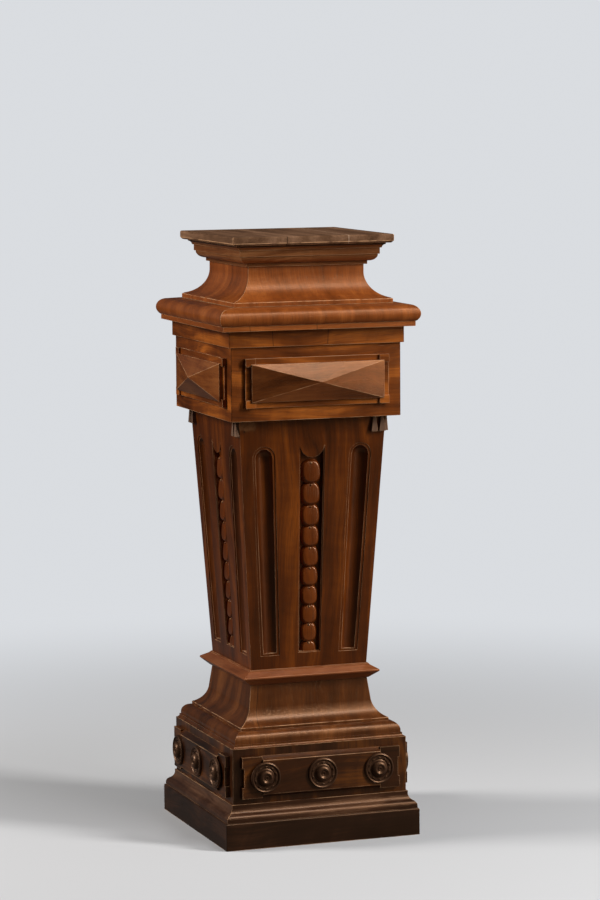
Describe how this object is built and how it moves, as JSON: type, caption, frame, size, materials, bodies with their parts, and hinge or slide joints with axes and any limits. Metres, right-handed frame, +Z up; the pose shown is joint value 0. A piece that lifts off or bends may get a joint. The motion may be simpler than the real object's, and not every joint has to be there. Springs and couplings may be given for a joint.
{
  "type": "pedestal column stand",
  "caption": "Square tapering walnut pedestal: moulded cap, frieze with diamond-point blocks, fluted shaft with coin strips, and a base with turned rosettes.",
  "frame": {"origin": "centre of the square underside of the plinth, at floor level", "axes": "+Z up, the front face towards -Y, +X to the right of someone facing the front"},
  "size_m": [0.4086, 0.4086, 1.178],
  "materials": {
    "top_walnut": "old waxed walnut, worn and greyed on top",
    "upper_walnut": "French-polished figured walnut veneer, warm orange brown",
    "frieze_walnut": "French-polished figured walnut veneer",
    "diamond_walnut": "polished solid walnut with worn points",
    "drop_walnut": "dry solid walnut, polish worn off",
    "shaft_walnut": "French-polished walnut, red brown",
    "coin_walnut": "carved walnut, dark in the hollows",
    "lower_walnut": "French-polished walnut, dark brown",
    "rosette_walnut": "turned walnut, nearly black with old wax",
    "softwood": "bare dry softwood"
  },
  "bodies": {
    "root": {"base_moulding": "lower_walnut", "bottom_board": "softwood", "cap_moulding": "upper_walnut", "coin_strip_back": "coin_walnut", "coin_strip_front": "coin_walnut", "coin_strip_left": "coin_walnut", "coin_strip_right": "coin_walnut", "collar_moulding": "shaft_walnut", "diamond_block_back": "diamond_walnut", "diamond_block_front": "diamond_walnut", "diamond_block_left": "diamond_walnut", "diamond_block_right": "diamond_walnut", "die_board_back": "lower_walnut", "die_board_front": "lower_walnut", "die_board_left": "lower_walnut", "die_board_right": "lower_walnut", "die_end_plates": "lower_walnut", "die_panels": "lower_walnut", "die_top_board": "softwood", "foot_cove_board_back": "lower_walnut", "foot_cove_board_front": "lower_walnut", "foot_cove_board_left": "lower_walnut", "foot_cove_board_right": "lower_walnut", "frieze_board_back": "frieze_walnut", "frieze_board_front": "frieze_walnut", "frieze_board_left": "frieze_walnut", "frieze_board_right": "frieze_walnut", "frieze_drops": "drop_walnut", "frieze_floor": "softwood", "frieze_plate_back": "frieze_walnut", "frieze_plate_front": "frieze_walnut", "frieze_plate_left": "frieze_walnut", "frieze_plate_right": "frieze_walnut", "frieze_rail": "frieze_walnut", "glue_blocks": "softwood", "neck_cove_board_back": "upper_walnut", "neck_cove_board_front": "upper_walnut", "neck_cove_board_left": "upper_walnut", "neck_cove_board_right": "upper_walnut", "plinth_board_back": "lower_walnut", "plinth_board_front": "lower_walnut", "plinth_board_left": "lower_walnut", "plinth_board_right": "lower_walnut", "rosettes": "rosette_walnut", "shaft_board_back": "shaft_walnut", "shaft_board_front": "shaft_walnut", "shaft_board_left": "shaft_walnut", "shaft_board_right": "shaft_walnut", "shoulder_board": "softwood", "shoulder_moulding_back": "upper_walnut", "shoulder_moulding_front": "upper_walnut", "shoulder_moulding_left": "upper_walnut", "shoulder_moulding_right": "upper_walnut", "shoulder_strip": "upper_walnut", "sub_top_board": "softwood", "surbase_moulding": "lower_walnut", "top_board": "top_walnut", "waist_board": "softwood"}
  },
  "joints": []
}
